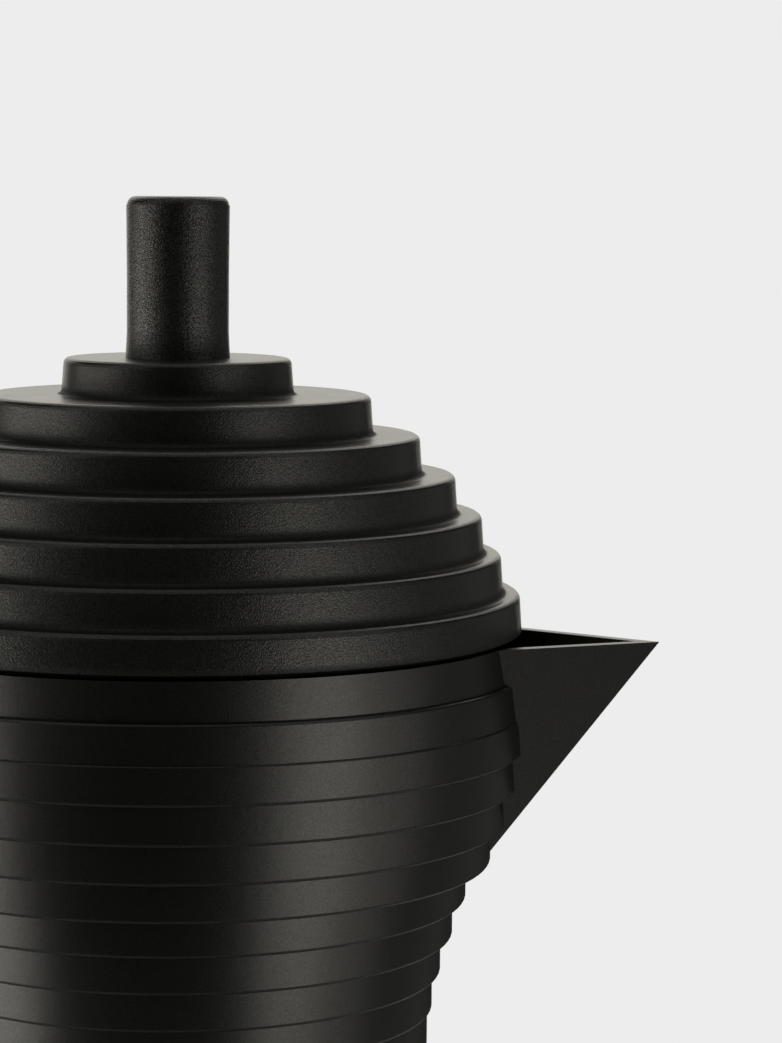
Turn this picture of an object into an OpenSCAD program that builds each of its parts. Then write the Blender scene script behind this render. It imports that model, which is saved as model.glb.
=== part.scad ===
// Stepped stovetop coffee maker (moka pot), size for about 300 ml.
// Millimetres. +Z is up, the origin is the centre of the boiler's base,
// the spout points to +X and the handle to -X.

/* [Cast rings] */
// Height of one ring of the collector and of the boiler
ring_pitch = 5.84; // [5.5:0.02:6.4]
// Radius of each ring of the collector, from the rim down
collector_ring_r = [52.3, 53.2, 53.5, 52.35, 50.65, 48.4, 44.65,
    42.65, 40.85, 39.6, 38.9, 38.5, 38.3, 38.3]; // [38:0.05:56]
// Radius of each ring of the boiler, from the shoulder down
boiler_ring_r = [38.3, 38.5, 38.9, 39.6, 40.8, 42.4, 44.3, 46.3,
    48.2, 49.9, 51.3, 52.4, 53.1, 53.4, 52.6]; // [38:0.05:56]
// Rounding of a ring's free edge
ring_edge_r = 0.5; // [0.2:0.05:0.8]
// Depth of the groove between two rings of about equal radius
ring_groove = 0.25; // [0.1:0.05:0.5]

/* [Collector] */
// Least wall of the collector between its rings and its smooth inside
collector_wall = 3; // [2.4:0.1:3.4]
// Thickness of the collector's floor above the filter plate
floor_t = 4; // [3:0.1:6]
// Rounding where the collector's wall meets its floor
floor_fillet = 4; // [2:0.5:6]
// Depth of the shallow cone under the floor that leads coffee to the column
dome_depth = 2; // [1:0.1:2.2]
// Visible gap between the boiler's shoulder and the collector when screwed tight
joint_gap = 0.9; // [0.5:0.1:2]

/* [Spout] */
// Reach of the spout's tip from the pot's axis
spout_reach = 73.8; // [68:0.1:80]
// Angle between the two rim lines of the spout, seen from above
spout_angle = 60; // [50:1:70]
// Angle of the spout's keel above the horizontal
keel_angle = 52.5; // [48:0.1:60]
// Wall of the spout, measured square to its rim
spout_wall = 1.8; // [1.4:0.1:2.6]
// How far the spout's walls reach inside the mouth before they are cut away
spout_inset = 6; // [4:0.5:9]

/* [Column] */
// Outer radius of the column where it passes the floor
column_r = 6; // [5:0.1:7]
// Outer radius of the column at its top
column_top_r = 4.6; // [4.4:0.1:5]
// Bore radius of the column
column_bore_r = 3; // [2.5:0.1:3.4]
// Height of the column above the floor
column_h = 44; // [36:1:48]
// Radius of the column's flange
column_flange_r = 9; // [8:0.1:12]
// Thickness of the column's flange
column_flange_t = 1.4; // [1:0.1:2]
// Height of the two outlet slots near the top of the column
column_slot_h = 6; // [4:0.5:8]
// Width of the outlet slots
column_slot_w = 3.2; // [2:0.1:4]
// Radial gap of the column in its seat
column_fit = 0.03; // [0.02:0.01:0.05]

/* [Boiler] */
// Least wall of the boiler
boiler_wall = 3.2; // [2.6:0.1:3.6]
// Thickness of the boiler's base
base_t = 4; // [3:0.1:6]
// Rounding of the boiler's bottom edge
base_edge_r = 1.4; // [0.6:0.1:2]
// Height of the threaded neck above the shoulder
neck_h = 13.4; // [12:0.1:15]
// Bore radius of the neck
neck_bore_r = 29.5; // [29.3:0.1:29.7]
// Wall of the neck, from its bore out to the crest of the thread
neck_wall = 3.7; // [3.4:0.1:4]
// Depth of the screw thread between boiler and collector
thread_depth = 1; // [0.8:0.1:1.2]
// Depth of the neck's straight bore
neck_bore_depth = 18; // [16:0.5:20]
// Radial clearance in the screw joint
thread_gap = 0.3; // [0.2:0.05:0.4]
// Height of the collector's threaded bore beyond the neck
thread_relief = 1.2; // [0.5:0.1:2]

/* [Funnel] */
// Sheet thickness of the funnel
funnel_sheet = 0.9; // [0.7:0.05:1.2]
// Radial clearance of the basket in the neck
basket_gap = 0.3; // [0.2:0.05:0.5]
// How far the funnel's flange stands back from the neck's outside
flange_inset = 1.4; // [1:0.1:2]
// Depth of the basket down to its strainer
basket_depth = 22; // [18:0.5:24]
// Width of the ledge that carries the strainer
ledge_w = 1.5; // [1:0.1:2.5]
// Height of the funnel's cone under the basket
cone_h = 8; // [6:0.5:12]
// Outer radius of the funnel's tube
tube_r = 4.6; // [4:0.1:5.5]
// Gap between the tube's end and the boiler's floor
tube_floor_gap = 7; // [4:0.5:12]

/* [Sieves and gasket] */
// Thickness of both sieve plates
sieve_t = 0.9; // [0.7:0.1:1.2]
// Radius of a sieve hole
sieve_hole_r = 0.6; // [0.4:0.05:0.8]
// Rings of holes around the centre hole
sieve_rings = 4; // [2:1:5]
// Spacing of the rings of holes
sieve_pitch = 4.8; // [4:0.1:5]
// Radial clearance of the strainer in the basket
strainer_gap = 0.2; // [0.1:0.05:0.4]
// How far the gasket stands back from the neck's outside
gasket_inset = 0.8; // [0.5:0.1:1.2]
// Width of the gasket's ring
gasket_w = 5.6; // [4.5:0.1:6.5]
// Thickness of the gasket
gasket_h = 4; // [3:0.1:5]
// Clearance of the gasket and the filter plate in their recess
recess_gap = 0.3; // [0.2:0.05:0.5]
// Gap above the filter plate
filter_gap = 0.1; // [0.05:0.05:0.3]

/* [Lid] */
// Radius of each disc of the lid at its foot, from the bottom up
lid_disc_r = [52.8, 49.85, 46.85, 42.75, 37.3, 29.8, 17.65]; // [15:0.05:54]
// Height of a middle disc
lid_disc_h = 6; // [5:0.1:7]
// Height of the lowest disc
lid_first_h = 5.6; // [5:0.1:7]
// Height of the top disc
lid_last_h = 5.55; // [5:0.05:7]
// How much a disc narrows from its foot to its top
lid_draft = 0.3; // [0.1:0.05:0.5]
// Rounding of a disc's top edge
lid_edge_r = 0.9; // [0.2:0.05:1.2]
// Fillet at a disc's foot
lid_foot_r = 0.8; // [0.2:0.05:1.2]
// Wall of the lid
lid_wall = 2.6; // [2:0.1:3.2]
// Dark gap seen between the lid and the collector's rim
lid_gap = 0.8; // [0.5:0.05:1.2]
// Clearance between the lid's seat and the rim
lid_seat_gap = 0.2; // [0.1:0.05:0.4]
// Width of the set-back that makes the gap
lid_setback = 1.5; // [1:0.1:1.8]
// Width of the lid's seat ring
lid_seat_w = 2.6; // [2:0.1:3]

/* [Knob] */
// Height of the knob
knob_h = 24.4; // [20:0.05:30]
// Radius of the knob at its foot
knob_foot_r = 7.95; // [7:0.05:9]
// Radius of the knob at its waist
knob_waist_r = 7.75; // [6.8:0.05:8.8]
// Radius of the knob at its top
knob_top_r = 7.85; // [7:0.05:9]
// Height of the flare at the knob's foot
knob_flare_h = 4; // [2:0.5:8]
// Rounding of the knob's top edge
knob_edge_r = 1.3; // [0.8:0.1:2]
// How far the knob's rounded top stands in from its wall, at the mould's parting line
knob_seam = 0.12; // [0.05:0.01:0.3]

/* [Screws and pins] */
// Thread radius of the knob's screw
knob_screw_r = 1.95; // [1.5:0.05:2.4]
// Length of the knob's screw in the knob
knob_screw_reach = 12; // [8:0.5:16]
// Radius of the knob screw's head
knob_head_r = 3.6; // [3.2:0.1:4]
// Height of the knob screw's head
knob_head_h = 2.4; // [1.8:0.1:3]
// Radius of the washer under the head
washer_r = 4.8; // [4.4:0.1:6]
// Thickness of the washer
washer_t = 0.8; // [0.6:0.1:1.2]
// Radial clearance of a screw in its clearance hole
screw_gap = 0.2; // [0.1:0.05:0.4]
// Radial gap of a screw in its own thread, and of a pressed pin
thread_fit = 0.02; // [0.01:0.005:0.04]
// Thread radius of the handle's screw
handle_screw_r = 1.95; // [1.5:0.05:2.4]
// Radius of the handle screw's head
handle_head_r = 3.4; // [3:0.1:3.8]
// Height of the handle screw's head
handle_head_h = 1.6; // [1.4:0.1:2]
// Thickness of the washer over the handle screw's head
handle_washer_t = 0.6; // [0.4:0.1:0.8]
// Distance of the handle screw behind the lug's face
handle_screw_back = 8; // [6:0.5:9]
// Length of the handle screw in the tenon
handle_screw_reach = 6; // [4:0.5:7]
// Width of the slots in the screw heads
driver_slot_w = 1; // [0.8:0.1:1.2]
// Depth of the slots in the screw heads
driver_slot_d = 0.9; // [0.8:0.1:1.1]

/* [Hinge] */
// Distance of the hinge's axis behind the lid's edge
hinge_back = 4.2; // [4:0.1:6]
// Height of the hinge's axis above the rim
hinge_rise = 3.8; // [3.6:0.1:5]
// Radius of the knuckles
knuckle_r = 3.3; // [2.8:0.1:3.3]
// Thickness of each ear
ear_t = 3; // [2.4:0.1:4]
// Radius of the hinge's pin
hinge_pin_r = 1.5; // [1.2:0.05:1.7]
// Radial clearance of the pin in the lid's tongue
hinge_gap = 0.08; // [0.05:0.01:0.1]
// Clearance on each side of the lid's tongue
tongue_gap = 0.25; // [0.1:0.05:0.4]

/* [Handle] */
// Width of the handle and of the lug that carries it
handle_w = 16; // [14:0.5:20]
// Height of the handle's arm
arm_h = 15; // [13:0.5:18]
// Drop of the arm's top below the rim
arm_drop = 0.8; // [0.4:0.1:2]
// Length of the cast lug behind the widest ring
lug_l = 8; // [6:0.5:12]
// Reach of the handle's outer face from the pot's axis
handle_reach = 112; // [104:1:120]
// Inner bend radius of the handle's corner
bend_r = 5; // [3:0.5:9]
// Thickness of the grip under the corner
grip_t = 14; // [12:0.5:16]
// Thickness of the grip at its end
grip_end_t = 10.5; // [9:0.5:14]
// Width of the grip at its end
grip_end_w = 14; // [12:0.5:18]
// Height of the grip from the arm's top down to its end
grip_h = 92; // [80:1:104]
// Rounding of the handle's long edges
handle_edge_r = 3.4; // [2.5:0.1:4]
// Length of the tenon inside the handle
tenon_l = 15; // [12:0.5:18]
// Width of the tenon
tenon_w = 9; // [8:0.5:9]
// Height of the tenon
tenon_h = 8; // [7:0.5:8.5]
// Clearance of the tenon in the handle
tenon_gap = 0.15; // [0.1:0.05:0.3]

/* [Safety valve] */
// Depth of the valve's axis under the boiler's shoulder
valve_drop = 20.4; // [19:0.1:24]
// Radius of the flat boss on the boiler
valve_boss_r = 8.4; // [8:0.1:10]
// Distance of the boss's face from the pot's axis
valve_face = 44.8; // [44:0.1:46.5]
// Radius of the valve's threaded shank
valve_shank_r = 5; // [4.5:0.1:5.4]
// Length of the shank inside the boss
valve_shank_l = 10; // [9:0.5:12]
// Width of the hexagon across its flats
valve_hex = 12.5; // [11.5:0.1:14]
// Height of the hexagon
valve_hex_h = 5; // [4:0.5:7]
// Radius of the round nose of the valve
valve_nose_r = 4.6; // [4.2:0.1:5]
// Height of the round nose
valve_nose_h = 4; // [3:0.5:6]
// Radius of the spring's chamber
valve_bore_r = 2.8; // [2.6:0.1:3]
// Radius of the steam hole behind the poppet
valve_hole_r = 1.5; // [1.2:0.1:1.8]
// Thickness of the valve's inner end, with the steam hole
valve_end_t = 3; // [2:0.5:4]
// Thickness of the fibre ring under the hexagon
valve_ring_t = 1; // [0.6:0.1:1.4]
// Radius of the fibre ring
valve_ring_r = 7.6; // [7.2:0.1:8]
// Radius of the poppet's head
poppet_r = 2.4; // [2.2:0.05:2.5]
// Height of the poppet's head
poppet_h = 2; // [1.5:0.1:3]
// Radius of the poppet's stem
stem_r = 0.9; // [0.7:0.05:1]
// How far the stem stands out of the valve's cap
stem_out = 2.5; // [2:0.1:4]
// Radial clearance of the stem in the cap
stem_gap = 0.08; // [0.05:0.01:0.1]
// Thickness of the valve's cap
valve_cap_t = 1.2; // [0.8:0.1:1.6]
// Wire radius of the valve's spring
spring_wire_r = 0.25; // [0.2:0.01:0.3]
// Turns of the valve's spring
spring_turns = 7; // [5:1:9]

/* [Hidden] */
$fn = 96;
// Segments of a small rounded edge in an outline
EDGE_STEPS = 4;
// Segments of a lid disc's larger rounding and fillet
LID_EDGE_STEPS = 4;
// Segments of one rounded corner of the handle's section
CORNER_STEPS = 5;
// Extra length by which a cut passes the face that it opens
CUT = 1;

// Heights of the stack, from the base up
boiler_top = ring_pitch * len(boiler_ring_r);
neck_top = boiler_top + neck_h;
flange_top = neck_top + funnel_sheet;
gasket_top = flange_top + gasket_h;
recess_top = gasket_top + sieve_t + filter_gap;
floor_z = recess_top + floor_t;
collector_bottom = boiler_top + joint_gap;
rim_z = collector_bottom + ring_pitch * len(collector_ring_r);
lid_z = rim_z + lid_gap;
lid_discs = len(lid_disc_r);
lid_top = lid_z + lid_first_h + (lid_discs - 2) * lid_disc_h + lid_last_h;

// Radii of the parts that fit in one another
neck_r = neck_bore_r + neck_wall;
neck_root_r = neck_r - thread_depth;
thread_bore_r = neck_r + thread_gap;
gasket_r = neck_r - gasket_inset;
recess_r = gasket_r + recess_gap;
mouth_r = collector_ring_r[0] - collector_wall;
basket_r = neck_bore_r - basket_gap;
basket_in_r = basket_r - funnel_sheet;
flange_r = neck_r - flange_inset;
column_hole_r = column_r + column_fit;

// Heights of the funnel
strainer_z = flange_top - basket_depth;
cone_top = strainer_z - funnel_sheet;
cone_bottom = cone_top - cone_h;
tube_end = base_t + tube_floor_gap;

// Places of the hinge and the handle
hinge_x = -(lid_disc_r[0] + hinge_back);
hinge_z = rim_z + hinge_rise;
widest_r = max(collector_ring_r);
waist_r = min(collector_ring_r);
lug_x = -(widest_r + lug_l);
arm_z = rim_z - arm_drop - arm_h / 2;
tenon_x = lug_x - tenon_l;
handle_screw_x = lug_x - handle_screw_back;
ear_y = handle_w / 2 - ear_t;
tongue_w = 2 * (ear_y - tongue_gap);

// Places of the safety valve, along its own axis from the boss's face outwards
valve_z = boiler_top - valve_drop;
valve_in = valve_end_t - valve_shank_l;
valve_nose_end = valve_ring_t + valve_hex_h + valve_nose_h;
spring_start = valve_in + poppet_h;
spring_end = valve_nose_end - valve_cap_t;

// Points of an arc about (x, z), from angle a to angle b
function arc(x, z, r, a, b, n = EDGE_STEPS) =
    [for (k = [0:n]) let (t = a + (b - a) * k / n) [x + r * cos(t), z + r * sin(t)]];

// Outline between a ring of radius a and the ring of radius b under it, at height z
function ring_step(a, b, z) =
    let (e = min(ring_edge_r, abs(a - b)))
    abs(a - b) < ring_groove
        ? [[a, z + ring_edge_r], [min(a, b) - ring_groove, z], [b, z - ring_edge_r]]
        : a > b
            ? concat(arc(a - e, z + e, e, 0, -90), [[b, z]])
            : concat([[a, z]], arc(b - e, z - e, e, 90, 0));

// Outer outline of a stack of rings, from its top down
function ring_outline(radii, top) = [
    for (i = [0:len(radii) - 2]) each ring_step(radii[i], radii[i + 1], top - (i + 1) * ring_pitch)
];

// Smooth inner outline, a wall away from the narrower ring at each step, down to height low
function inner_outline(radii, top, wall, low) = [
    for (i = [1:len(radii) - 1])
        let (z = top - i * ring_pitch)
        if (z > low) [min(radii[i - 1], radii[i]) - wall, z]
];

// Radius of the inner outline at the highest step under a given height
function inner_r_at(radii, top, wall, z) =
    let (i = min(len(radii) - 1, ceil((top - z) / ring_pitch)))
    min(radii[i - 1], radii[i]) - wall;

// A cylinder from point y0 to y1 along +Y
module y_cylinder(r, y0, y1) {
    translate([0, y0, 0]) rotate([-90, 0, 0]) cylinder(r = r, h = y1 - y0);
}

// A rounded bar along X with the handle's section, from x0 down to x1
module lug_bar(x0, x1) {
    translate([x1, 0, arm_z]) rotate([90, 0, 90]) linear_extrude(x0 - x1) {
        square([handle_w, arm_h - 2 * handle_edge_r], center = true);
        square([handle_w - 2 * handle_edge_r, arm_h], center = true);
        for (sx = [-1, 1], sz = [-1, 1])
            translate([sx * (handle_w / 2 - handle_edge_r), sz * (arm_h / 2 - handle_edge_r)])
                circle(r = handle_edge_r, $fn = 32);
    }
}

// The tenon of the lug, or with a gap the pocket for it in the handle
module tenon(gap) {
    translate([tenon_x - gap, -tenon_w / 2 - gap, arm_z - tenon_h / 2 - gap])
        cube([tenon_l + CUT + gap, tenon_w + 2 * gap, tenon_h + 2 * gap]);
}

// Prism of the spout: two plane walls that meet in a sloping keel, from height top down to
// where the keel is inside the waist. back moves the prism towards the pot
module spout_prism(back, top) {
    lean = 90 - keel_angle;
    half = atan(tan(spout_angle / 2) / cos(lean));
    depth = (spout_reach - mouth_r + spout_inset) * cos(lean);
    low = max(floor_z + floor_fillet, rim_z - (spout_reach - back - waist_r) * tan(keel_angle));
    intersection() {
        translate([spout_reach - back, 0, rim_z])
            rotate([0, lean, 0])
                translate([0, 0, -spout_reach])
                    linear_extrude(2 * spout_reach)
                        polygon([[0, 0], [-depth, depth * tan(half)], [-depth, -depth * tan(half)]]);
        translate([0, -spout_reach, low]) cube([2 * spout_reach, 2 * spout_reach, top - low]);
    }
}

module sieve(r, z) {
    difference() {
        translate([0, 0, z]) cylinder(r = r, h = sieve_t);
        translate([0, 0, z - CUT]) {
            cylinder(r = sieve_hole_r, h = sieve_t + 2 * CUT, $fn = 24);
            for (k = [1:sieve_rings], i = [0:6 * k - 1])
                rotate([0, 0, i * 60 / k])
                    translate([k * sieve_pitch, 0, 0])
                        cylinder(r = sieve_hole_r, h = sieve_t + 2 * CUT, $fn = 24);
        }
    }
}

// Screw with its head's underside at the origin, thread towards +Z
module screw(r, length, head_r, head_h) {
    difference() {
        union() {
            cylinder(r = r, h = length, $fn = 48);
            translate([0, 0, -head_h]) cylinder(r = head_r, h = head_h, $fn = 48);
        }
        translate([-head_r, -driver_slot_w / 2, -head_h])
            cube([2 * head_r, driver_slot_w, driver_slot_d]);
    }
}

// A flat washer that stands on the origin
module washer(r, bore_r, t) {
    color("#c4c4c0") difference() {
        cylinder(r = r, h = t, $fn = 48);
        translate([0, 0, -CUT]) cylinder(r = bore_r, h = t + 2 * CUT, $fn = 48);
    }
}

module boiler() {
    base_r = boiler_ring_r[len(boiler_ring_r) - 1];
    cavity_top = neck_top - neck_bore_depth;
    shoulder_r = inner_r_at(boiler_ring_r, boiler_top, boiler_wall, cavity_top - ring_pitch);
    color("#262624") difference() {
        union() {
            rotate_extrude() polygon(concat(
                [[0, 0], [0, neck_top], [neck_root_r - ring_edge_r, neck_top],
                    [neck_root_r, neck_top - ring_edge_r], [neck_root_r, boiler_top]],
                arc(boiler_ring_r[0] - ring_edge_r, boiler_top - ring_edge_r, ring_edge_r, 90, 0),
                ring_outline(boiler_ring_r, boiler_top),
                arc(base_r - base_edge_r, base_edge_r, base_edge_r, 0, -90)));
            translate([0, 0, valve_z]) y_cylinder(valve_boss_r, 0, valve_face);
        }
        rotate_extrude() polygon(concat(
            [[0, base_t], [0, neck_top + CUT], [neck_bore_r, neck_top + CUT], [neck_bore_r, cavity_top],
                [shoulder_r, cavity_top - (shoulder_r - neck_bore_r)]],
            [for (p = inner_outline(boiler_ring_r, boiler_top, boiler_wall, base_t + floor_fillet))
                if (p[1] < cavity_top - (shoulder_r - neck_bore_r)) p],
            arc(base_r - boiler_wall - floor_fillet, base_t + floor_fillet, floor_fillet, 0, -90)));
        translate([0, 0, valve_z]) y_cylinder(valve_shank_r + thread_fit, 0, valve_face + CUT);
    }
}

// Everything of the valve is drawn along +Y from the boss's face
module at_valve() {
    translate([0, valve_face, valve_z]) children();
}

module valve_body() {
    color("#b5894a") at_valve() difference() {
        union() {
            y_cylinder(valve_shank_r, -valve_shank_l, valve_ring_t);
            translate([0, valve_ring_t, 0]) rotate([-90, 0, 0])
                cylinder(r = valve_hex / 2 / cos(30), h = valve_hex_h, $fn = 6);
            y_cylinder(valve_nose_r, valve_ring_t + valve_hex_h - CUT, valve_nose_end);
        }
        y_cylinder(valve_bore_r, valve_in, valve_nose_end + CUT);
        y_cylinder(valve_hole_r, -valve_shank_l - CUT, valve_in + CUT);
    }
}

module valve_ring() {
    color("#8a3b2c") at_valve() difference() {
        y_cylinder(valve_ring_r, 0, valve_ring_t);
        y_cylinder(valve_shank_r + screw_gap, -CUT, valve_ring_t + CUT);
    }
}

module valve_cap() {
    color("#c49a58") at_valve() difference() {
        y_cylinder(valve_bore_r - thread_fit, spring_end, valve_nose_end);
        y_cylinder(stem_r + stem_gap, spring_end - CUT, valve_nose_end + CUT);
    }
}

module valve_poppet() {
    color("#c8c8c4") at_valve() {
        y_cylinder(poppet_r, valve_in, valve_in + poppet_h);
        y_cylinder(stem_r, valve_in + poppet_h - CUT, valve_nose_end + stem_out);
    }
}

module valve_spring() {
    sides = 6;
    steps = 12;
    rings = spring_turns * steps;
    coil_r = poppet_r - spring_wire_r;
    start = spring_start + spring_wire_r;
    rise = (spring_end - spring_wire_r - start) / rings;
    points = [for (i = [0:rings], k = [0:sides - 1])
        let (turn = i * 360 / steps, a = k * 360 / sides, r = coil_r + spring_wire_r * cos(a))
            [r * cos(turn), start + i * rise + spring_wire_r * sin(a), r * sin(turn)]];
    faces = concat(
        [[for (k = [0:sides - 1]) k]],
        [for (i = [0:rings - 1], k = [0:sides - 1]) let (n = (k + 1) % sides)
            [i * sides + k, (i + 1) * sides + k, (i + 1) * sides + n, i * sides + n]],
        [[for (k = [sides - 1:-1:0]) rings * sides + k]]);
    color("#d0d0cc") at_valve() polyhedron(points, faces);
}

module funnel() {
    bore_r = tube_r - funnel_sheet;
    color("#c9c9c6") rotate_extrude() polygon([
        [flange_r, flange_top], [flange_r, neck_top], [basket_r, neck_top], [basket_r, cone_top],
        [tube_r, cone_bottom], [tube_r, tube_end], [bore_r, tube_end],
        [bore_r, cone_bottom + funnel_sheet], [basket_in_r - ledge_w, cone_top + funnel_sheet / 2],
        [basket_in_r - ledge_w, strainer_z], [basket_in_r, strainer_z], [basket_in_r, flange_top]]);
}

module funnel_strainer() {
    color("#bdbdb9") sieve(basket_in_r - strainer_gap, strainer_z);
}

module gasket() {
    color("#dfdcd3") difference() {
        translate([0, 0, flange_top]) cylinder(r = gasket_r, h = gasket_h);
        translate([0, 0, flange_top - CUT]) cylinder(r = gasket_r - gasket_w, h = gasket_h + 2 * CUT);
    }
}

module filter_plate() {
    color("#bdbdb9") sieve(gasket_r, gasket_top);
}

module collector() {
    inner_foot_r = inner_r_at(collector_ring_r, rim_z, collector_wall, floor_z + floor_fillet);
    color("#282826") difference() {
        union() {
            rotate_extrude() polygon(concat(
                [[0, collector_bottom], [0, rim_z], [collector_ring_r[0], rim_z]],
                ring_outline(collector_ring_r, rim_z),
                [[collector_ring_r[len(collector_ring_r) - 1], collector_bottom]]));
            spout_prism(0, rim_z);
            lug_bar(-mouth_r, lug_x);
            tenon(0);
            for (side = [-1, 1]) translate([0, side * (ear_y + ear_t / 2) - ear_t / 2, 0]) {
                translate([hinge_x, 0, hinge_z]) y_cylinder(knuckle_r, 0, ear_t);
                translate([hinge_x - knuckle_r, 0, arm_z]) cube([2 * knuckle_r, ear_t, hinge_z - arm_z]);
            }
        }
        rotate_extrude() polygon(concat(
            [[0, floor_z], [0, rim_z + CUT], [mouth_r, rim_z + CUT], [mouth_r, rim_z]],
            inner_outline(collector_ring_r, rim_z, collector_wall, floor_z + floor_fillet),
            arc(inner_foot_r - floor_fillet, floor_z + floor_fillet, floor_fillet, 0, -90)));
        spout_prism(spout_wall / sin(spout_angle / 2), rim_z + CUT);
        translate([0, 0, collector_bottom - CUT])
            cylinder(r = thread_bore_r, h = neck_top + thread_relief - collector_bottom + CUT);
        translate([0, 0, collector_bottom]) cylinder(r = recess_r, h = recess_top - collector_bottom);
        translate([0, 0, recess_top - CUT / 10])
            cylinder(r1 = gasket_r - gasket_w, r2 = column_r, h = dome_depth);
        translate([0, 0, recess_top]) cylinder(r = column_hole_r, h = floor_t + CUT);
        translate([hinge_x, 0, hinge_z]) y_cylinder(hinge_pin_r + thread_fit, -handle_w, handle_w);
        translate([handle_screw_x, 0, arm_z - tenon_h / 2 - CUT])
            cylinder(r = handle_screw_r + thread_fit, h = handle_screw_reach + 1.5 * CUT, $fn = 48);
    }
}

module column() {
    top = floor_z + column_h;
    color("#bfbfbb") difference() {
        rotate_extrude() polygon(concat(
            [[0, recess_top + dome_depth], [0, top]],
            arc(column_top_r - ring_edge_r, top - ring_edge_r, ring_edge_r, 90, 0),
            [[column_r, floor_z + column_flange_t], [column_flange_r, floor_z + column_flange_t],
                [column_flange_r, floor_z], [column_r, floor_z], [column_r, recess_top + dome_depth]]));
        translate([0, 0, recess_top]) cylinder(r = column_bore_r, h = top - recess_top - funnel_sheet * 2);
        translate([-column_r, -column_slot_w / 2, top - funnel_sheet * 2 - column_slot_h])
            cube([2 * column_r, column_slot_w, column_slot_h]);
    }
}

// One ring of the handle's skin: centre at x, z, turned by a about Y, width w, thickness t
function handle_section(x, z, a, w, t) =
    let (e = min(handle_edge_r, t * 0.45))
    [for (q = [0:3], k = [0:CORNER_STEPS])
        let (s = q * 90 + k * 90 / CORNER_STEPS,
             u = (q == 0 || q == 3 ? 1 : -1) * (w / 2 - e) + e * cos(s),
             v = (q < 2 ? 1 : -1) * (t / 2 - e) + e * sin(s))
            [x - v * sin(a), u, z + v * cos(a)]];

module handle_skin() {
    bend_steps = 12;
    end_steps = 5;
    end_angle = 85;
    top = arm_z + arm_h / 2;
    bend_x = -(handle_reach - grip_t - bend_r);
    bend_z = arm_z - arm_h / 2 - bend_r;
    grip_bottom = top - grip_h;
    end_r = grip_end_t / 2;
    lean = (grip_t - grip_end_t) / 2;
    rings = concat(
        [handle_section(lug_x, arm_z, 0, handle_w, arm_h)],
        [for (i = [0:bend_steps])
            let (a = 90 * i / bend_steps, t = arm_h + (grip_t - arm_h) * i / bend_steps, r = bend_r + t / 2)
                handle_section(bend_x - r * sin(a), bend_z + r * cos(a), a, handle_w, t)],
        [for (i = [0:end_steps])
            let (a = end_angle * i / end_steps, t = grip_end_t * cos(a))
                handle_section(-(handle_reach - grip_t / 2) - lean, grip_bottom + end_r * (1 - sin(a)), 90,
                    grip_end_w - grip_end_t + t, t)]);
    n = len(rings[0]);
    last = len(rings) - 1;
    polyhedron([for (ring = rings) each ring], concat(
        [[for (k = [n - 1:-1:0]) k]],
        [for (i = [0:last - 1], k = [0:n - 1]) let (m = (k + 1) % n)
            [i * n + k, i * n + m, (i + 1) * n + m, (i + 1) * n + k]],
        [[for (k = [0:n - 1]) last * n + k]]));
}

module handle() {
    color("#1f1f1e") difference() {
        handle_skin();
        tenon(tenon_gap);
        translate([handle_screw_x, 0, arm_z - arm_h]) {
            cylinder(r = handle_screw_r + screw_gap, h = arm_h, $fn = 48);
            cylinder(r = handle_head_r + screw_gap, h = arm_h / 2 + handle_head_h + handle_washer_t,
                $fn = 48);
        }
    }
}

module handle_screw() {
    seat = arm_z - arm_h / 2 + handle_head_h;
    color("#c4c4c0") translate([handle_screw_x, 0, seat])
        screw(handle_screw_r, arm_z - tenon_h / 2 + handle_screw_reach - seat, handle_head_r, handle_head_h);
}

module hinge_pin() {
    color("#c4c4c0") translate([hinge_x, 0, hinge_z]) y_cylinder(hinge_pin_r, -handle_w / 2, handle_w / 2);
}

// Height of a lid disc's top, from the lowest up
function lid_ledge(i) =
    i == lid_discs - 1 ? lid_top : lid_z + lid_first_h + i * lid_disc_h;

// Outline of one lid disc's side, from its top edge down to the fillet at its foot
function lid_side(i) =
    let (r = lid_disc_r[i], top = lid_ledge(i), foot = i == 0 ? lid_z : lid_ledge(i - 1), t = r - lid_draft)
    concat(arc(t - lid_edge_r, top - lid_edge_r, lid_edge_r, 90, 0, LID_EDGE_STEPS),
        i == 0 ? [[r, foot]] : arc(r + lid_foot_r, foot + lid_foot_r, lid_foot_r, 180, 270, LID_EDGE_STEPS));

module lid() {
    seat_out_r = lid_disc_r[0] - lid_setback;
    seat_in_r = seat_out_r - lid_seat_w;
    seat_z = rim_z + lid_seat_gap;
    inset = lid_wall * sin(45);
    color("#2b2b29") difference() {
        union() {
            rotate_extrude() polygon(concat(
                [[0, seat_z], [0, lid_top]],
                [for (i = [lid_discs - 1:-1:0]) each lid_side(i)],
                [[seat_out_r, lid_z], [seat_out_r, seat_z]]));
            translate([hinge_x, -tongue_w / 2, hinge_z]) y_cylinder(knuckle_r, 0, tongue_w);
            translate([hinge_x, -tongue_w / 2, lid_z])
                cube([hinge_back + lid_setback + lid_seat_w / 2, tongue_w, lid_first_h - lid_edge_r]);
        }
        rotate_extrude() polygon(concat(
            [[0, seat_z - CUT], [0, lid_top - lid_wall], [washer_r + lid_wall, lid_top - lid_wall]],
            [for (i = [lid_discs - 1:-1:1]) [lid_disc_r[i] - inset, lid_ledge(i - 1) - inset]],
            [[seat_in_r, seat_z], [seat_in_r, seat_z - CUT]]));
        translate([0, 0, lid_top - lid_wall - CUT])
            cylinder(r = knob_screw_r + screw_gap, h = lid_wall + 2 * CUT, $fn = 48);
        translate([hinge_x, 0, hinge_z]) y_cylinder(hinge_pin_r + hinge_gap, -handle_w, handle_w);
    }
}

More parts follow.
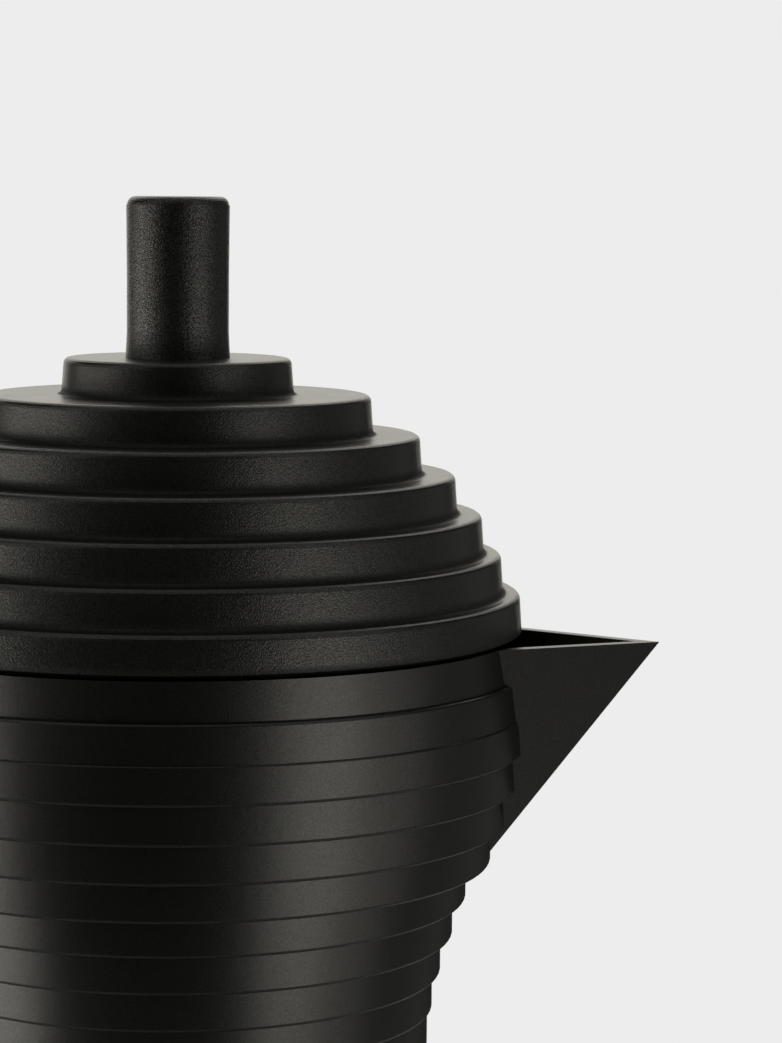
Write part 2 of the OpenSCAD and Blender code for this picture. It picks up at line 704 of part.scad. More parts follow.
module lid_knob() {
    top = lid_top + knob_h;
    color("#2b2b29") difference() {
        rotate_extrude() polygon(concat(
            [[0, lid_top], [0, top]],
            arc(knob_top_r - knob_seam - knob_edge_r, top - knob_edge_r, knob_edge_r, 90, 0, 6),
            [[knob_top_r, top - knob_edge_r], [knob_waist_r, lid_top + knob_h / 2],
                [knob_waist_r, lid_top + knob_flare_h], [knob_foot_r, lid_top]]));
        translate([0, 0, lid_top - CUT])
            cylinder(r = knob_screw_r + thread_fit, h = knob_screw_reach + 2 * CUT, $fn = 48);
    }
}

module knob_screw() {
    seat = lid_top - lid_wall - washer_t;
    color("#c4c4c0") translate([0, 0, seat])
        screw(knob_screw_r, lid_top + knob_screw_reach - seat, knob_head_r, knob_head_h);
}

module handle_washer() {
    translate([handle_screw_x, 0, arm_z - arm_h / 2 + handle_head_h])
        washer(handle_head_r, handle_screw_r + screw_gap, handle_washer_t);
}

module knob_washer() {
    translate([0, 0, lid_top - lid_wall - washer_t]) washer(washer_r, knob_screw_r + screw_gap, washer_t);
}

boiler();
valve_body();
valve_ring();
valve_cap();
valve_poppet();
valve_spring();
funnel();
funnel_strainer();
gasket();
filter_plate();
collector();
column();
handle();
handle_screw();
handle_washer();
hinge_pin();
lid();
lid_knob();
knob_screw();
knob_washer();
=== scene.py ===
# %% [markdown]
# # A stepped moka pot, finished in Blender
# A moka pot makes coffee on a stove. Steam in the boiler pushes hot water up through the ground
# coffee and into the collector, from where it is poured. This one is cast in steps, so that its body
# and its lid look like a stack of rings. The shapes, sizes and joints come from a CAD model. Blender
# adds what CAD is poor at: the finishes, the screw threads, the light and the camera.

# %% Load the CAD model
from math import cos, pi, radians, sin, tau

import bpy
from mathutils import Matrix, Vector


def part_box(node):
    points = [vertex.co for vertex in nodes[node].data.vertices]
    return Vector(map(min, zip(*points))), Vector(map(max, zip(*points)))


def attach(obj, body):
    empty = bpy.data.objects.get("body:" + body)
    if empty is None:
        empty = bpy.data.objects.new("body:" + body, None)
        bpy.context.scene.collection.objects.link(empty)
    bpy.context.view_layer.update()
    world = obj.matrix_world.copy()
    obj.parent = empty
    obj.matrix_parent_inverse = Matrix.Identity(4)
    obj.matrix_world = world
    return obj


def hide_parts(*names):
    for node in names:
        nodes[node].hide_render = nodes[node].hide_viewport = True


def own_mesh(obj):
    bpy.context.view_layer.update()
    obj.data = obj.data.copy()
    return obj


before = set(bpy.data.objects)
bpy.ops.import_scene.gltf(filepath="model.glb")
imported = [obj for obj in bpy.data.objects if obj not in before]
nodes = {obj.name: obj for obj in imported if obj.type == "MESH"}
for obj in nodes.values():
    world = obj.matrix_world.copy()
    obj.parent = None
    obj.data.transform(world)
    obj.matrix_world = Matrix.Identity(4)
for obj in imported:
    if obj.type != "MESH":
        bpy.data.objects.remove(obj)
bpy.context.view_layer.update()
MM = 0.001

# %% [markdown]
# ## Places read from the model
# Everything below is placed by the CAD model, never by eye. A piece's box gives its heights, and the
# vertices between two heights give the radius of a turned surface there. Reading them keeps the
# finishes in step with the model when one of its sizes changes.

# %% Read the neck and the bore that screws onto it
def radii(node, bottom, top):
    """The least and greatest distance from the pot's axis of a node's vertices between two heights."""
    reach = [v.co.xy.length for v in nodes[node].data.vertices if bottom <= v.co.z <= top]
    return min(reach), max(reach)


neck_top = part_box("boiler")[1].z
collector_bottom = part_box("collector")[0].z
column_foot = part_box("column")[0].z
neck_r = radii("boiler", collector_bottom, neck_top)[1]
thread_bore_r = radii("collector", collector_bottom, collector_bottom + MM)[0]
print("neck radius", round(neck_r / MM, 2), "mm, collector's bore", round(thread_bore_r / MM, 2), "mm")

# %% [markdown]
# The lid is a stack of discs. Its flat faces that look straight up are the tops of the discs, so their
# heights give the ledges. The hinge is on the other side of the axis, and only the spout's side is
# read, so that the hinge doesn't count.

# %% Read the lid's foot and its ledges
LOOKS_UP = 0.999

lid_mesh = nodes["lid"].data
spout_side = [v.co for v in lid_mesh.vertices if v.co.x > 0]
lid_r = max(co.xy.length for co in spout_side)
lid_foot = min(co.z for co in spout_side if co.xy.length > lid_r - MM)
ledges = sorted({round(face.center.z, 5) for face in lid_mesh.polygons
                 if face.normal.z > LOOKS_UP and face.center.x > 0})
first_ledge, ledge_pitch = ledges[0], ledges[1] - ledges[0]
print("lid's radius", round(lid_r / MM, 2), "mm, its foot at", round(lid_foot / MM, 2), "mm")
print("lid's ledges at", [round(height / MM, 2) for height in ledges], "mm")

# %% [markdown]
# ## A few helpers for finishes
# Designers write colours as sRGB hex values, as a paint chart does, but light adds up in linear
# values, which is what a shader's socket expects. One function turns the first into the second. A
# second function adds a node, sets it and links it, so that a finish reads like a list of what it is
# made of. Texture coordinates are the object's own, in metres, so a pattern's scale is one divided
# by its real size. Most pieces are turned, so one more helper finds a point's height, its distance
# from the axis and whether the surface looks outwards there.

# %% Colour, nodes and scale
def linear(hex_colour):
    """An sRGB hex colour as linear RGBA."""
    channels = [int(hex_colour[i:i + 2], 16) / 255 for i in (1, 3, 5)]
    return [c / 12.92 if c <= 0.04045 else ((c + 0.055) / 1.055) ** 2.4 for c in channels] + [1]


def add(tree, kind, inputs=None, **settings):
    """A new shader node with its settings. Each input is linked to a socket or set to a value."""
    node = tree.nodes.new("ShaderNode" + kind)
    for name, value in settings.items():
        setattr(node, name, value)
    for key, value in (inputs or {}).items():
        if isinstance(value, bpy.types.NodeSocket):
            tree.links.new(value, node.inputs[key])
        else:
            node.inputs[key].default_value = value
    return node


def new_finish(name):
    """A new material, its empty tree, and the object's own coordinates and normal."""
    material = bpy.data.materials.new(name)
    material.use_nodes = True
    tree = material.node_tree
    tree.nodes.clear()
    coords = add(tree, "TexCoord")
    return material, tree, coords.outputs["Object"], coords.outputs["Normal"]


def close_finish(tree, shader_inputs):
    """The Principled shader with these inputs, as the material's surface."""
    shader = add(tree, "BsdfPrincipled", shader_inputs)
    add(tree, "OutputMaterial", {"Surface": shader.outputs[0]})


def per_metre(size_mm):
    """The scale of a texture whose features are that many millimetres wide."""
    return 1 / (size_mm * MM)


def turned_place(tree, place, normal):
    """Height, distance from the pot's axis, and how far the wall looks away from the axis (-1 to 1)."""
    flat = add(tree, "VectorMath", {0: place, 1: (1, 1, 0)}, operation="MULTIPLY").outputs[0]
    outwards = add(tree, "VectorMath", {0: flat}, operation="NORMALIZE").outputs[0]
    height = add(tree, "SeparateXYZ", {0: place}).outputs["Z"]
    radius = add(tree, "VectorMath", {0: flat}, operation="LENGTH").outputs["Value"]
    facing = add(tree, "VectorMath", {0: outwards, 1: normal}, operation="DOT_PRODUCT").outputs["Value"]
    return height, radius, facing


def paint(material, *names):
    """Gives CAD nodes this material in place of the one they came with."""
    for name in names:
        nodes[name].data.materials.clear()
        nodes[name].data.materials.append(material)
    print(material.name, "on", ", ".join(names))


# %% [markdown]
# ## Black resin, moulded with a grain
# The lid, its knob and the handle are moulded in black glass-filled polyamide, which stays cool
# enough to touch. The mould is spark-eroded, and so the skin carries a fine, even grain that breaks
# its highlights into specks and makes it look drier than the casting below. The grain could be real
# displacement, but at a few hundredths of a millimetre a bump map looks the same and costs nothing.
# Two sizes of noise are mixed: the pits of the spark erosion, and the finer roughness inside them.
# A real pit is about a tenth of a millimetre wide. It is drawn twice as wide here, so that it still
# shows when the whole pot is in view. The bottoms of the pits are rubbed and cleaned less than their
# rims, which lets the rims shine more: the specular level follows the same noise.

# %% Grained black resin
RESIN_DARK = "#0c0c0b"
RESIN_LIGHT = "#151514"
RESIN_IOR = 1.53
RESIN_ROUGHNESS = {"To Min": 0.28, "To Max": 0.35}
PIT_MM = 0.24
SPECK_MM = 0.14
SPECK_SHARE = 0.3
RESIN_PATCH_MM = 9
# Most of a noise texture's values lie in this range.
NOISE_MIDDLE = {"From Min": 0.35, "From Max": 0.65}
# How dull the resin gets under the steam film on the lid's ring and under the painted shade in its fillets.
FILM_AND_SHADE_ROUGHNESS = 0.8
FILM_AND_SHADE_LEVEL = 0.08


def grained_resin(name, pit_depth_mm, dull, shiny, film_and_shade_zone=None):
    """Black resin whose pits are this deep, with specular levels from dull to shiny.

    Where the zone function that is passed in gives 1, the resin is dulled: by a steam coat on the lid's
    ring, and as painted shade in the hollows at the foot of its steps.
    """
    material, tree, place, normal = new_finish(name)
    pits = add(tree, "TexNoise", {"Vector": place, "Scale": per_metre(PIT_MM), "Detail": 2}).outputs[0]
    specks = add(tree, "TexNoise", {"Vector": place, "Scale": per_metre(SPECK_MM)}).outputs[0]
    patches = add(tree, "TexNoise", {"Vector": place, "Scale": per_metre(RESIN_PATCH_MM),
                                     "Detail": 3}).outputs[0]
    fine = add(tree, "Bump", {"Height": specks, "Distance": SPECK_SHARE * pit_depth_mm * MM})
    coarse = add(tree, "Bump", {"Height": pits, "Distance": pit_depth_mm * MM, "Normal": fine.outputs[0]})
    tint = add(tree, "Mix", {"Factor": pits, 6: linear(RESIN_DARK), 7: linear(RESIN_LIGHT)},
               data_type="RGBA")
    roughness = add(tree, "MapRange", {"Value": patches, **RESIN_ROUGHNESS}).outputs[0]
    glint = add(tree, "MapRange", {"Value": pits, **NOISE_MIDDLE, "To Min": dull,
                                   "To Max": shiny}).outputs[0]
    # Steam film on the lid's ring, and painted shade in its fillets: there the resin is made dull and dark.
    if film_and_shade_zone:
        film_and_shade = film_and_shade_zone(tree, place, normal)
        roughness = add(tree, "Mix", {"Factor": film_and_shade, 2: roughness, 3: FILM_AND_SHADE_ROUGHNESS}).outputs[0]
        glint = add(tree, "Mix", {"Factor": film_and_shade, 2: glint, 3: FILM_AND_SHADE_LEVEL}).outputs[0]
    close_finish(tree, {"Base Color": tint.outputs[2], "Roughness": roughness, "IOR": RESIN_IOR,
                        "Specular IOR Level": glint, "Normal": coarse.outputs[0]})
    return material


# %% [markdown]
# The lid's lowest part is a ring that sits inside the collector's mouth. Steam leaves a dull film on it.
# The fillets at the foot of the lid's steps are dulled the same way, as painted shade, so that they
# stay dark between the shining edges. The discs are equally high, so the height above the last ledge
# is the remainder of a division. The painted shade keeps to the outside: inside the lid, the walls face
# the axis, and that leaves them out. The knob and the handle are gripped, and their grain is cut
# deeper than the lid's.

# %% Mould the lid, the knob and the handle
RING_MARGIN_MM = 0.05
# Painted shade in the fillets: how far up each step it reaches, and how strong it is at the foot.
FILLET_SHADE_FULL_MM = 0.2
FILLET_SHADE_GONE_MM = 1.5
PAINTED_SHADE_IN_FILLETS = 0.62


def lid_film_and_fillet_shade(tree, place, normal):
    """How dull the resin is: fully on the ring inside the mouth, which steam dulls, and as painted shade at
    the foot of each step, 0 elsewhere.
    """
    height, _, facing = turned_place(tree, place, normal)
    ring = add(tree, "Math", {0: height, 1: lid_foot + RING_MARGIN_MM * MM}, operation="LESS_THAN")
    above = add(tree, "Math", {0: height, 1: first_ledge}, operation="SUBTRACT").outputs[0]
    rise = add(tree, "Math", {0: above, 1: ledge_pitch}, operation="FLOORED_MODULO").outputs[0]
    # Painted shade: near the foot of each step the resin is made dull and dark, standing in for the shade in
    # the fillets.
    low = add(tree, "MapRange", {"Value": rise, "From Min": FILLET_SHADE_FULL_MM * MM, "From Max": FILLET_SHADE_GONE_MM * MM,
                                 "To Min": PAINTED_SHADE_IN_FILLETS, "To Max": 0}).outputs[0]
    outside = add(tree, "MapRange", {"Value": facing, "From Min": 0.1, "From Max": 0.5}).outputs[0]
    painted_fillet_shade = add(tree, "Math", {0: low, 1: outside}, operation="MULTIPLY").outputs[0]
    return add(tree, "Math", {0: ring.outputs[0], 1: painted_fillet_shade}, operation="MAXIMUM").outputs[0]


paint(grained_resin("fine_grained_black_polyamide", 0.045, 0.34, 0.68, lid_film_and_fillet_shade), "lid")
paint(grained_resin("coarse_grained_black_polyamide", 0.08, 0.2, 0.82), "lid_knob", "handle")

# %% [markdown]
# ## Soft edges on the handle
# The handle's skin comes from CAD as flat triangles, and each would shine as a facet. Its form is
# right, so it stays, and a small modifier only changes how it is shaded: it joins the triangles'
# corners and keeps an edge crisp only where two faces meet at a real angle, as round the screw's
# bore. Subdividing would be the other way, but it would pull the form away from the CAD model.

# %% Shade the handle smoothly
HANDLE_CRISP_ANGLE = 32
JOIN_MM = 0.01


def shade_by_angle(piece, angle):
    """A modifier that shades a piece smoothly, apart from edges sharper than an angle in degrees."""
    group = bpy.data.node_groups.new("smooth_" + piece.name, "GeometryNodeTree")
    group.interface.new_socket("Geometry", in_out="INPUT", socket_type="NodeSocketGeometry")
    group.interface.new_socket("Geometry", in_out="OUTPUT", socket_type="NodeSocketGeometry")
    start = group.nodes.new("NodeGroupInput")
    joined = group.nodes.new("GeometryNodeMergeByDistance")
    joined.inputs["Distance"].default_value = JOIN_MM * MM
    bend = group.nodes.new("GeometryNodeInputMeshEdgeAngle")
    crisp = group.nodes.new("FunctionNodeCompare")
    crisp.inputs[1].default_value = radians(angle)
    shaded = group.nodes.new("GeometryNodeSetMeshNormal")
    shaded.inputs["Remove Custom"].default_value = True
    shaded.inputs["Face Sharpness"].default_value = False
    end = group.nodes.new("NodeGroupOutput")
    group.links.new(start.outputs[0], joined.inputs[0])
    group.links.new(joined.outputs[0], shaded.inputs["Mesh"])
    group.links.new(bend.outputs["Unsigned Angle"], crisp.inputs[0])
    group.links.new(crisp.outputs[0], shaded.inputs["Edge Sharpness"])
    group.links.new(shaded.outputs[0], end.inputs[0])
    piece.modifiers.new("smooth_shading", "NODES").node_group = group
    print(piece.name, "shaded smoothly up to", angle, "degrees")


shade_by_angle(nodes["handle"], HANDLE_CRISP_ANGLE)

# %% [markdown]
# ## Black coating on cast aluminium
# The boiler and the collector are die-cast aluminium, sprayed with a black heat-proof coating. It
# is smoother than the resin and has a satin sheen, with the faint orange peel of a sprayed coat. The
# casting is blasted before it is sprayed, and its fine tooth shows through the coat. The real tooth is
# too fine to show with the whole pot in view, so it is drawn about twice as coarse. The coat is left
# off where it would jam or burn: on the screw threads, inside the boiler and on the base. A separate
# piece per zone would need cuts in the CAD mesh, so the material finds its zones by height, by
# distance from the axis and by the direction in which the wall looks.

# %% Coating and bare metal in one finish
COATING = "#0a0a0a"
COAT_ROUGHNESS = {"To Min": 0.32, "To Max": 0.38}
COAT_GLINT = {"To Min": 0.41, "To Max": 0.6}
COAT_RELIEF_MM = 0.012
BARE_ALUMINIUM = "#b7b7b2"
BARE_ROUGHNESS = 0.34
BARE_RELIEF_MM = 0.02
PEEL_MM = 1.4
TOOTH_MM = 0.22
COAT_PATCH_MM = 14
TURNING_MM = 0.5


def coated_casting(name, bare_zone):
    """The coating, with bare turned metal where bare_zone(tree, height, radius, facing) is 1."""
    material, tree, place, normal = new_finish(name)
    height, radius, facing = turned_place(tree, place, normal)
    bare = bare_zone(tree, height, radius, facing)
    peel = add(tree, "TexNoise", {"Vector": place, "Scale": per_metre(PEEL_MM), "Detail": 1}).outputs[0]
    tooth = add(tree, "TexNoise", {"Vector": place, "Scale": per_metre(TOOTH_MM), "Detail": 2}).outputs[0]
    patches = add(tree, "TexNoise", {"Vector": place, "Scale": per_metre(COAT_PATCH_MM),
                                     "Detail": 3}).outputs[0]
    turned = add(tree, "Math", {0: radius, 1: height}, operation="ADD").outputs[0]
    marks = add(tree, "TexNoise", {"W": turned, "Scale": per_metre(TURNING_MM)}, noise_dimensions="1D")
    soft = add(tree, "Bump", {"Height": peel, "Distance": COAT_RELIEF_MM * MM})
    toothed = add(tree, "Bump", {"Height": tooth, "Distance": COAT_RELIEF_MM * MM,
                                 "Normal": soft.outputs[0]})
    tooled = add(tree, "Bump", {"Height": marks.outputs[0], "Distance": BARE_RELIEF_MM * MM})
    relief = add(tree, "Mix", {"Factor": bare, 4: toothed.outputs[0], 5: tooled.outputs[0]},
                 data_type="VECTOR")
    colour = add(tree, "Mix", {"Factor": bare, 6: linear(COATING), 7: linear(BARE_ALUMINIUM)},
                 data_type="RGBA")
    coat_roughness = add(tree, "MapRange", {"Value": patches, **COAT_ROUGHNESS})
    roughness = add(tree, "Mix", {"Factor": bare, 2: coat_roughness.outputs[0], 3: BARE_ROUGHNESS})
    glint = add(tree, "MapRange", {"Value": tooth, **NOISE_MIDDLE, **COAT_GLINT})
    close_finish(tree, {"Base Color": colour.outputs[2], "Metallic": bare,
                        "Roughness": roughness.outputs[0], "Specular IOR Level": glint.outputs[0],
                        "Normal": relief.outputs[1]})
    return material


# %% [markdown]
# The boiler's coat ends at the foot of the neck. The base is turned flat after spraying, so that it
# lies well on the stove, and the inside is never sprayed. The collector is coated inside too, and
# only its underside, where it screws on, is bare.

# %% Coat the boiler and the collector
PAINT_LINE_MM = 0.6
BASE_MM = 4.6
BASE_R_MM = 50.9
UNDERSIDE_MM = 2
BORE_EDGE_MM = 1.5


def boiler_bare(tree, height, radius, facing):
    """1 on the neck, on every wall that faces the axis, and on the base."""
    neck_line = collector_bottom - PAINT_LINE_MM * MM
    neck = add(tree, "Math", {0: height, 1: neck_line}, operation="GREATER_THAN").outputs[0]
    inside = add(tree, "Math", {0: facing, 1: -0.05}, operation="LESS_THAN").outputs[0]
    low = add(tree, "Math", {0: height, 1: BASE_MM * MM}, operation="LESS_THAN").outputs[0]
    near = add(tree, "Math", {0: radius, 1: BASE_R_MM * MM}, operation="LESS_THAN").outputs[0]
    base = add(tree, "Math", {0: low, 1: near}, operation="MULTIPLY").outputs[0]
    upper = add(tree, "Math", {0: neck, 1: inside}, operation="MAXIMUM").outputs[0]
    return add(tree, "Math", {0: upper, 1: base}, operation="MAXIMUM").outputs[0]


def collector_bare(tree, height, radius, facing):
    """1 in the bore that screws onto the neck, up to just above the column's foot."""
    top = column_foot + UNDERSIDE_MM * MM
    edge = thread_bore_r + BORE_EDGE_MM * MM
    under = add(tree, "Math", {0: height, 1: top}, operation="LESS_THAN").outputs[0]
    near = add(tree, "Math", {0: radius, 1: edge}, operation="LESS_THAN").outputs[0]
    return add(tree, "Math", {0: under, 1: near}, operation="MULTIPLY").outputs[0]


paint(coated_casting("black_coated_boiler_casting", boiler_bare), "boiler")
paint(coated_casting("black_coated_collector_casting", collector_bare), "collector")

# %% [markdown]
# ## Bare metals
# Metals need little: a colour for what they reflect, metallic at 1 and a roughness for how they were
# worked. The funnel is drawn from sheet aluminium and left satin, the column is turned, the screws
# and the pin are stainless steel, and the valve is brass. Each shows the marks of its lathe or draw
# as fine lines round its axis, which a one-dimensional noise over height and radius gives at once.

# %% Aluminium, steel and brass
SMUDGE_MM = 6
SMUDGE = 0.06


def worked_metal(name, colour, roughness, mark_mm, depth_mm):
    """A bare metal with fine lines round the pot's axis."""
    material, tree, place, normal = new_finish(name)
    height, radius, _ = turned_place(tree, place, normal)
    turned = add(tree, "Math", {0: height, 1: radius}, operation="ADD").outputs[0]
    lines = add(tree, "TexNoise", {"W": turned, "Scale": per_metre(mark_mm), "Detail": 2},
                noise_dimensions="1D").outputs[0]
    smudges = add(tree, "TexNoise", {"Vector": place, "Scale": per_metre(SMUDGE_MM), "Detail": 2}).outputs[0]
    worn = add(tree, "MapRange", {"Value": smudges, "To Min": roughness - SMUDGE,
                                  "To Max": roughness + SMUDGE})
    grooves = add(tree, "Bump", {"Height": lines, "Distance": depth_mm * MM})
    close_finish(tree, {"Base Color": linear(colour), "Metallic": 1.0, "Roughness": worn.outputs[0],
                        "Normal": grooves.outputs[0]})
    return material


paint(worked_metal("drawn_aluminium", "#c6c6c2", 0.36, 0.35, 0.008),
      "funnel", "funnel_strainer", "filter_plate")
paint(worked_metal("turned_aluminium", "#bcbcb7", 0.33, 0.4, 0.012), "column")
paint(worked_metal("stainless_steel", "#c9c7c2", 0.24, 0.3, 0.004),
      "handle_screw", "handle_washer", "hinge_pin", "knob_screw", "knob_washer", "valve_spring",
      "valve_poppet")
paint(worked_metal("turned_brass", "#c8a55f", 0.27, 0.3, 0.006), "valve_body", "valve_cap")

# %% [markdown]
# ## Seals
# The gasket is white silicone rubber, a little dusty, and the ring under the valve is pressed red
# fibre. Both look soft because they are rough, and the red ring shows its short fibres.

# %% Silicone and fibre
rubber, tree, place, normal = new_finish("white_silicone_rubber")
bloom = add(tree, "TexNoise", {"Vector": place, "Scale": per_metre(3), "Detail": 4}).outputs[0]
tint = add(tree, "Mix", {"Factor": bloom, 6: linear("#d3d0c6"), 7: linear("#e4e2da")}, data_type="RGBA")
skin = add(tree, "Bump", {"Height": bloom, "Distance": 0.02 * MM})
close_finish(tree, {"Base Color": tint.outputs[2], "Roughness": 0.55, "IOR": 1.41,
                    "Normal": skin.outputs[0]})
paint(rubber, "gasket")

fibre, tree, place, normal = new_finish("pressed_red_fibre")
fibres = add(tree, "TexNoise", {"Vector": place, "Scale": per_metre(0.5), "Detail": 5}).outputs[0]
tint = add(tree, "Mix", {"Factor": fibres, 6: linear("#6d241b"), 7: linear("#9a3b2c")}, data_type="RGBA")
nap = add(tree, "Bump", {"Height": fibres, "Distance": 0.05 * MM})
close_finish(tree, {"Base Color": tint.outputs[2], "Roughness": 0.8, "IOR": 1.5, "Normal": nap.outputs[0]})
paint(fibre, "valve_ring")

# %% [markdown]
# ## The valve's spring
# When the valve opens, its poppet moves outwards and shortens the spring behind it. The CAD model's
# spring has one fixed length. A copy of it takes its place on the boiler, at that same length, and the
# middle of its outer end is read from its box. Its wire is made of flat triangles, as the handle is, and
# gets the same modifier.

# %% Put a copy in the spring's place
WIRE_CRISP_ANGLE = 50

spring_low, spring_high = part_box("valve_spring")
outer_end = (spring_low + spring_high) / 2
outer_end.y = spring_high.y
coil = bpy.data.objects.new("valve_spring_coil", nodes["valve_spring"].data.copy())
bpy.context.scene.collection.objects.link(coil)
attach(coil, "boiler")
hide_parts("valve_spring")
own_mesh(coil)
shade_by_angle(coil, WIRE_CRISP_ANGLE)

# %% [markdown]
# ## The screw threads
# The collector screws onto the boiler's neck, three millimetres a turn. A thread is a ridge that
# climbs round the neck, so it is built as one: the ridge's cross-section is set down at every few
# degrees of the turn, a little higher each time, and its height fades at both ends, as where a
# thread-cutting tool runs in and out. The collector's thread stands half a turn away, in the gaps
# between the neck's ridges, as it does on the real pot.

# %% Cut both threads
PITCH_MM = 3.0
THREAD_DEPTH_MM = 1.0
STEPS_A_TURN = 96
RUN_OUT_TURNS = 0.4
FLANK_ANGLE = 25
# The ridge's corners: how far out of the root (0 to 1), and how high in millimetres.
RIDGE = [(0, -0.85), (1, -0.3), (1, 0.3), (0, 0.85)]


def thread(name, root_r, crest_r, bottom, top, start_angle, body, material):
    """A helical ridge between two heights, rooted at root_r, which rides on a body."""
    turns = (top - bottom) / (PITCH_MM * MM)
    steps = round(turns * STEPS_A_TURN)
    points = []
    for i in range(steps + 1):
        turn = i / STEPS_A_TURN
        angle = start_angle + turn * tau
        fade = min(1, turn / RUN_OUT_TURNS, (turns - turn) / RUN_OUT_TURNS)
        for out, up in RIDGE:
            r = root_r + (crest_r - root_r) * out * max(fade, 0)
            points.append((r * cos(angle), r * sin(angle), bottom + turn * PITCH_MM * MM + up * MM))
    n = len(RIDGE)
    faces = [[i * n + k, (i + 1) * n + k, (i + 1) * n + (k + 1) % n, i * n + (k + 1) % n]
             for i in range(steps) for k in range(n)]
    faces += [list(range(n)), [steps * n + k for k in reversed(range(n))]]
    mesh = bpy.data.meshes.new(name)
    mesh.from_pydata(points, [], faces)
    mesh.shade_smooth()
    mesh.set_sharp_from_angle(angle=radians(FLANK_ANGLE))
    mesh.materials.append(material)
    ridge = bpy.data.objects.new(name, mesh)
    bpy.context.scene.collection.objects.link(ridge)
    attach(ridge, body)
    print(name, round(turns, 1), "turns,", len(faces), "faces")


cut_thread = worked_metal("cut_aluminium_thread", BARE_ALUMINIUM, 0.32, 0.4, 0.01)
SINK = 0.1 * MM
thread_low = collector_bottom + 1.6 * MM
thread_high = neck_top - 1.4 * MM
thread("neck_thread", neck_r - SINK, neck_r + THREAD_DEPTH_MM * MM, thread_low, thread_high, 0.0,
       "boiler", cut_thread)
thread("collector_thread", thread_bore_r + SINK, thread_bore_r - THREAD_DEPTH_MM * MM, thread_low,
       thread_high, pi, "collector", cut_thread)

# %% [markdown]
# ## The floor
# The pot stands on a plain pale surface that keeps its shadow. The lamps are weak, because they light a
# black pot, so the camera alone sees the surface with a little light of its own added, and it looks as
# pale as its colour. Farther out, it turns into the same even light grey as the backdrop, so that no
# edge of it shows.

# %% Lay the floor
BACKDROP = "#ededed"
FLOOR_R = 3.0
FADE_START = 0.2
FADE_END = 0.36
LIFT = 0.4

floor_mesh = bpy.data.meshes.new("floor")
floor_mesh.from_pydata([(x * FLOOR_R, y * FLOOR_R, 0) for x, y in ((-1, -1), (1, -1), (1, 1), (-1, 1))], [],
                       [(0, 1, 2, 3)])
floor = bpy.data.objects.new("floor", floor_mesh)
bpy.context.scene.collection.objects.link(floor)

surface = bpy.data.materials.new("pale_floor")
surface.use_nodes = True
tree = surface.node_tree
tree.nodes.clear()
place = add(tree, "TexCoord").outputs["Object"]
distance = add(tree, "VectorMath", {0: place}, operation="LENGTH").outputs["Value"]
fade = add(tree, "MapRange", {"Value": distance, "From Min": FADE_START, "From Max": FADE_END})
seen = add(tree, "LightPath").outputs["Is Camera Ray"]
near = add(tree, "BsdfDiffuse", {"Color": linear(BACKDROP)})
strength = add(tree, "Math", {0: seen, 1: LIFT}, operation="MULTIPLY").outputs[0]
lift = add(tree, "Emission", {"Color": linear(BACKDROP), "Strength": strength})
lifted = add(tree, "AddShader", {0: near.outputs[0], 1: lift.outputs[0]})
seamless = add(tree, "Emission", {"Color": linear(BACKDROP)})
beyond = add(tree, "BsdfTransparent")
far = add(tree, "MixShader", {0: seen, 1: beyond.outputs[0], 2: seamless.outputs[0]})
blend = add(tree, "MixShader", {0: fade.outputs[0], 1: lifted.outputs[0], 2: far.outputs[0]})
add(tree, "OutputMaterial", {"Surface": blend.outputs[0]})
floor_mesh.materials.append(surface)
print("floor fades from", FADE_START, "to", FADE_END, "m")

# %% [markdown]
# ## Light
# A black object shows its form by what it mirrors, not by its own colour. Each upright wall mirrors
# what stands at its own side, a little below it, so the bright bands left and right are the images
# of two soft boxes, and a dark gap between them keeps the middle of the pot black. The soft box on
# the right has a dimmer second one beside it, which softens the band's far edge, and beyond it a wide,
# faint wall. The tops of the steps look the other way and mirror the wall behind the pot, low down.
# Their rounded edges mirror everything in between: a panel high behind the pot draws the fine line
# along each, and two more at the front light the edges to the left and the right. Lamps of the area
# kind do all this: each is a plain rectangle whose radiance is set directly, because that is what a
# mirror shows, however far off the lamp stands.

# %% Set the soft boxes
AIM = Vector((0, 0, 0.13))
LAMP_COLOUR = (1.0, 0.975, 0.88)


def soft_box(name, azimuth, elevation, distance, width, height, radiance):
    """A rectangular lamp that looks at the middle of the pot, as bright per area as its radiance."""
    lamp = bpy.data.lights.new(name, "AREA")
    lamp.shape = "RECTANGLE"
    lamp.size = width
    lamp.size_y = height
    lamp.energy = radiance * pi * width * height
    lamp.color = LAMP_COLOUR
    box = bpy.data.objects.new(name, lamp)
    bpy.context.scene.collection.objects.link(box)
    a, e = radians(azimuth), radians(elevation)
    away = Vector((cos(a) * cos(e), sin(a) * cos(e), sin(e)))
    box.location = AIM + away * distance
    box.rotation_mode = "QUATERNION"
    box.rotation_quaternion = away.to_track_quat("Z", "Y")
    box.visible_camera = False
    print(name, "radiance", radiance, "energy", round(lamp.energy, 2), "W")


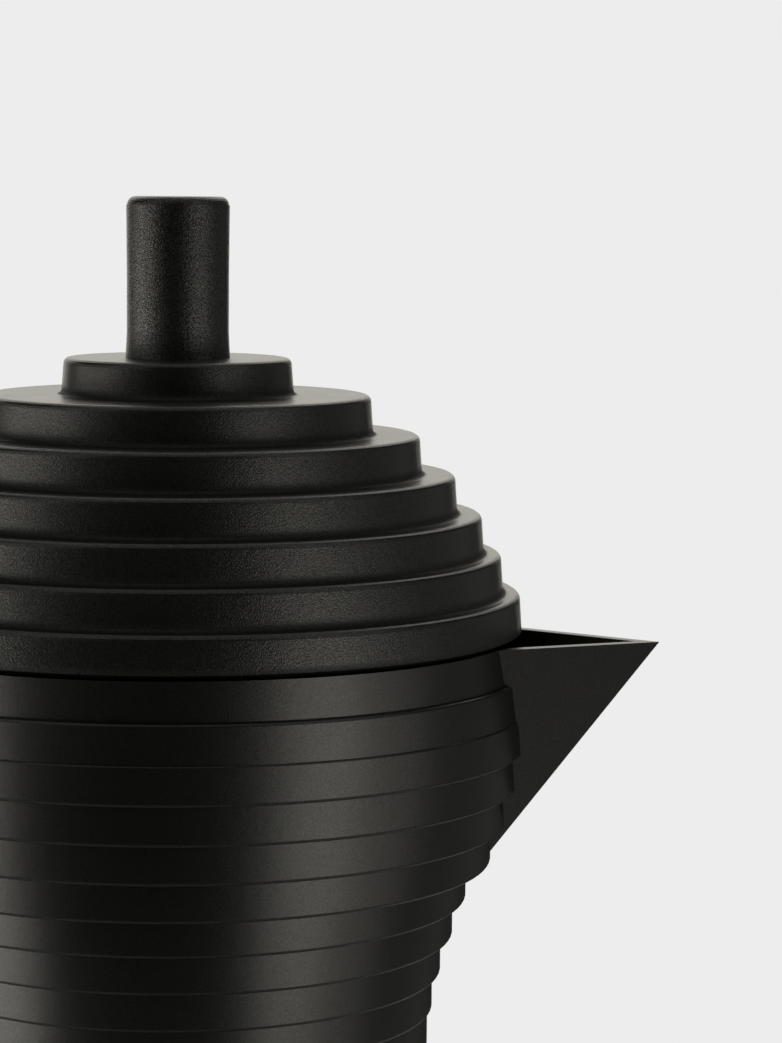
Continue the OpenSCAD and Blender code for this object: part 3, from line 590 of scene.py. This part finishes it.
soft_box("right_soft_box", -34, -8.9, 0.9, 0.42, 0.25, 3.7)
soft_box("right_soft_edge", -9, -9.6, 0.9, 0.38, 0.23, 1.15)
soft_box("right_side_wall", 32, 0, 1.5, 1.8, 1.0, 0.12)
soft_box("left_soft_box", -172, 5.5, 0.9, 1.0, 0.26, 0.9)
soft_box("left_low_card", -168, -11.2, 0.9, 0.95, 0.24, 4.5)
soft_box("right_high_panel", -22, 32, 1.2, 0.9, 0.8, 0.62)
soft_box("left_high_panel", -140, 32, 1.2, 0.9, 0.8, 0.56)
soft_box("back_wall", 106, 14, 1.2, 1.2, 0.95, 1.15)
soft_box("back_panel", 92, 46, 1.2, 1.3, 0.6, 1.3)
soft_box("top_panel", -80, 88, 1.2, 1.8, 1.8, 0.35)

# %% [markdown]
# The room itself is nearly dark, because each bit of light in it would veil the black. The camera
# alone sees the world as the pale backdrop, in the same grey as the far floor.

# %% Light from the room, and the backdrop
ROOM = 0.03

world = bpy.data.worlds.new("studio")
world.use_nodes = True
bpy.context.scene.world = world
tree = world.node_tree
tree.nodes.clear()
seen = add(tree, "LightPath").outputs["Is Camera Ray"]
room = add(tree, "Background", {"Color": (1, 1, 1, 1), "Strength": ROOM})
backdrop = add(tree, "Background", {"Color": linear(BACKDROP), "Strength": 1.0})
sky = add(tree, "MixShader", {0: seen, 1: room.outputs[0], 2: backdrop.outputs[0]})
add(tree, "OutputWorld", {"Surface": sky.outputs[0]})
bpy.context.scene.view_settings.view_transform = "Standard"
print("room", ROOM, "behind a backdrop of", BACKDROP)

# %% [markdown]
# ## The camera
# A long lens from close to eye level, as for a catalogue: it keeps the rings nearly parallel. The
# camera stands at the spout's side, a little forward of square, and looks slightly down.

# %% Place the camera
LENS_MM = 113.53
CAMERA_HEIGHT_MM = 238.64
CAMERA_DISTANCE_MM = 501.7
TURN_ROUND_POT = 10.1
PAN_RIGHT = 3.732
LOOK_DOWN = 5.849
ROLL = 0.475

camera_data = bpy.data.cameras.new("camera")
camera_data.lens = LENS_MM
camera_data.clip_start = 0.02
camera = bpy.data.objects.new("camera", camera_data)
bpy.context.scene.collection.objects.link(camera)
bpy.context.scene.camera = camera
camera.matrix_world = (
    Matrix.Rotation(radians(TURN_ROUND_POT), 4, "Z")
    @ Matrix.Translation((0, -CAMERA_DISTANCE_MM * MM, CAMERA_HEIGHT_MM * MM))
    @ Matrix.Rotation(radians(-PAN_RIGHT), 4, "Z")
    @ Matrix.Rotation(radians(90 - LOOK_DOWN), 4, "X")
    @ Matrix.Rotation(radians(ROLL), 4, "Z")
)
print("camera at", [round(value, 3) for value in camera.location])
